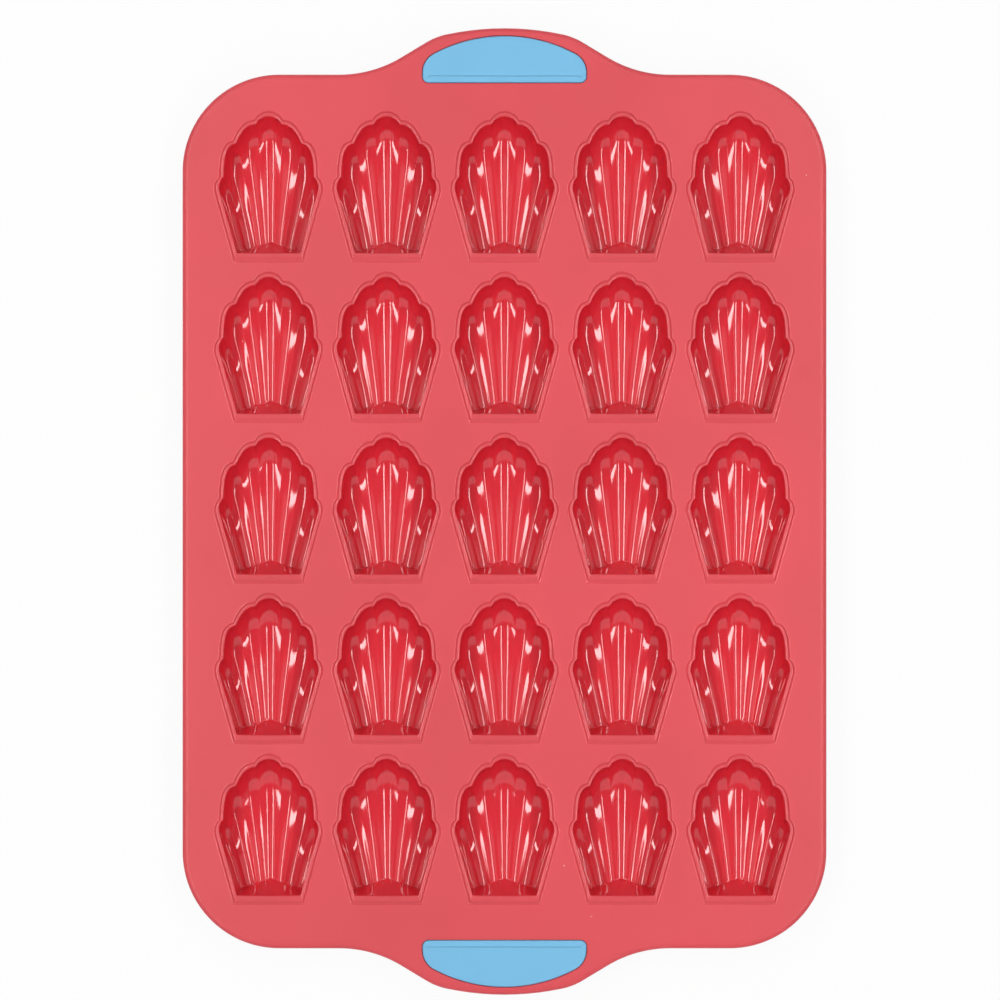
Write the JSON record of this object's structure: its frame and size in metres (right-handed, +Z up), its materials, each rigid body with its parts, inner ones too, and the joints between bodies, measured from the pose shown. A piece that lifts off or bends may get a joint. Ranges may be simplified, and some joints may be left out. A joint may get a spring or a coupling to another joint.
{
  "type": "madeleine pan",
  "caption": "Flexible silicone baking mould: a flat sheet with rows of fluted shell cups, a wire-stiffened rim and a grip pad on a tab at each end.",
  "frame": {"origin": "centre of the whole pan in plan, on the surface that the cups stand on", "axes": "+Z up out of the cups, +Y along the pan to the end that the shells' lobed tips point to, +X to its right-hand side"},
  "size_m": [0.2664, 0.4, 0.0162],
  "materials": {
    "red_silicone": "satin moulded silicone, a little glossier in the cups",
    "frame_steel": "plain drawn steel",
    "blue_grip": "soft matt silicone"
  },
  "bodies": {
    "root": {"rim": "red_silicone", "cup_r1_c1": "red_silicone", "cup_r1_c2": "red_silicone", "cup_r1_c3": "red_silicone", "cup_r1_c4": "red_silicone", "cup_r1_c5": "red_silicone", "cup_r2_c1": "red_silicone", "cup_r2_c2": "red_silicone", "cup_r2_c3": "red_silicone", "cup_r2_c4": "red_silicone", "cup_r2_c5": "red_silicone", "cup_r3_c1": "red_silicone", "cup_r3_c2": "red_silicone", "cup_r3_c3": "red_silicone", "cup_r3_c4": "red_silicone", "cup_r3_c5": "red_silicone", "cup_r4_c1": "red_silicone", "cup_r4_c2": "red_silicone", "cup_r4_c3": "red_silicone", "cup_r4_c4": "red_silicone", "cup_r4_c5": "red_silicone", "cup_r5_c1": "red_silicone", "cup_r5_c2": "red_silicone", "cup_r5_c3": "red_silicone", "cup_r5_c4": "red_silicone", "cup_r5_c5": "red_silicone", "wire_frame": "frame_steel", "grip_back": "blue_grip", "grip_front": "blue_grip"}
  },
  "joints": []
}
